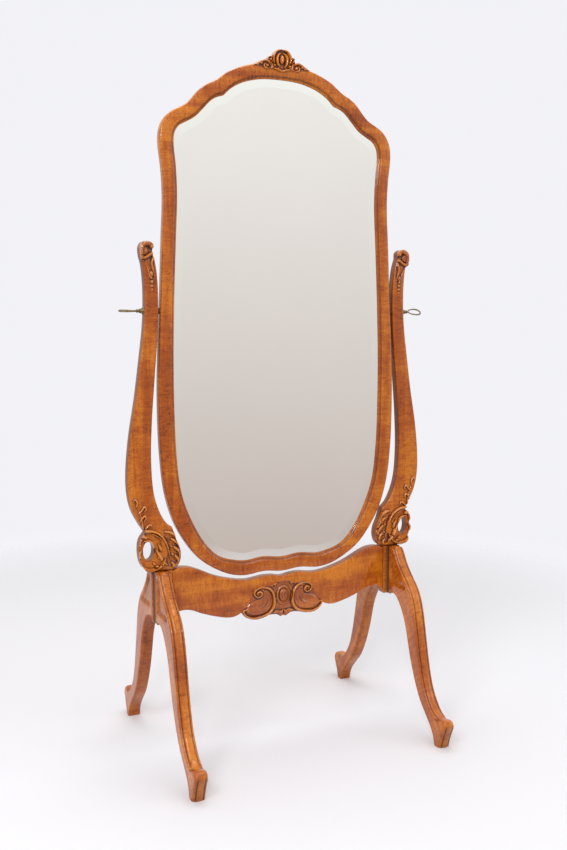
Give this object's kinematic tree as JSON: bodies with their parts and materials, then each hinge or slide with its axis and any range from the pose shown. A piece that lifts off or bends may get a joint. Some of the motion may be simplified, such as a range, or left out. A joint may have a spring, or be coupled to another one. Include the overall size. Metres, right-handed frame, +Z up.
{
  "type": "cheval floor mirror",
  "caption": "Full-length mirror in a shaped, moulded frame that tilts between scrolled standards on moulded cabriole legs.",
  "frame": {"origin": "on the floor, at the middle of the four feet", "axes": "+X to the right as seen from the front, +Y to the back, +Z up"},
  "size_m": [0.89, 0.635, 1.85],
  "materials": {
    "figured_maple": "bird's-eye maple under glossy amber shellac",
    "carved_maple": "carved maple under glossy amber shellac, dark in the recesses",
    "silvered_glass": "silvered looking glass with a bevelled edge",
    "pine_board": "bare aged pine",
    "plain_beech": "bare beech",
    "aged_brass": "worn nickel-plated brass",
    "steel": "dull steel",
    "leather": "dark vegetable-tanned leather"
  },
  "bodies": {
    "stand": {"left_upright": "figured_maple", "left_scroll_carving": "carved_maple", "left_knee_carving": "carved_maple", "left_corner_post": "figured_maple", "left_front_leg": "figured_maple", "left_back_leg": "figured_maple", "left_bushing": "aged_brass", "left_escutcheon": "aged_brass", "left_friction_washer": "leather", "right_upright": "figured_maple", "right_scroll_carving": "carved_maple", "right_knee_carving": "carved_maple", "right_corner_post": "figured_maple", "right_front_leg": "figured_maple", "right_back_leg": "figured_maple", "right_bushing": "aged_brass", "right_escutcheon": "aged_brass", "right_friction_washer": "leather", "cross_rail": "figured_maple", "cross_rail_carving": "carved_maple", "cross_rail_tenons": "plain_beech", "leg_dowels": "plain_beech", "upright_dowels": "plain_beech"},
    "mirror": {"frame_top_rail": "figured_maple", "frame_left_stile": "figured_maple", "frame_right_stile": "figured_maple", "frame_bottom_rail": "figured_maple", "frame_tongues": "plain_beech", "mirror_glass": "silvered_glass", "glass_blocks": "plain_beech", "back_board": "pine_board", "back_board_screws": "steel", "crest_carving": "carved_maple", "left_pivot_plate": "aged_brass", "right_pivot_plate": "aged_brass", "pivot_plate_screws": "steel"},
    "left_thumbscrew": {"left_thumbscrew": "aged_brass"},
    "right_thumbscrew": {"right_thumbscrew": "aged_brass"}
  },
  "joints": [
    {"name": "mirror_tilt", "type": "hinge", "parent": "stand", "child": "mirror", "pos_m": [0, 0, 1.17], "axis": [1, 0, 0], "continuous": true},
    {"name": "left_thumbscrew_turn", "type": "hinge", "parent": "mirror", "child": "left_thumbscrew", "pos_m": [-0.38, 0, 1.17], "axis": [1, 0, 0], "continuous": true},
    {"name": "right_thumbscrew_turn", "type": "hinge", "parent": "mirror", "child": "right_thumbscrew", "pos_m": [0.38, 0, 1.17], "axis": [1, 0, 0], "continuous": true}
  ]
}
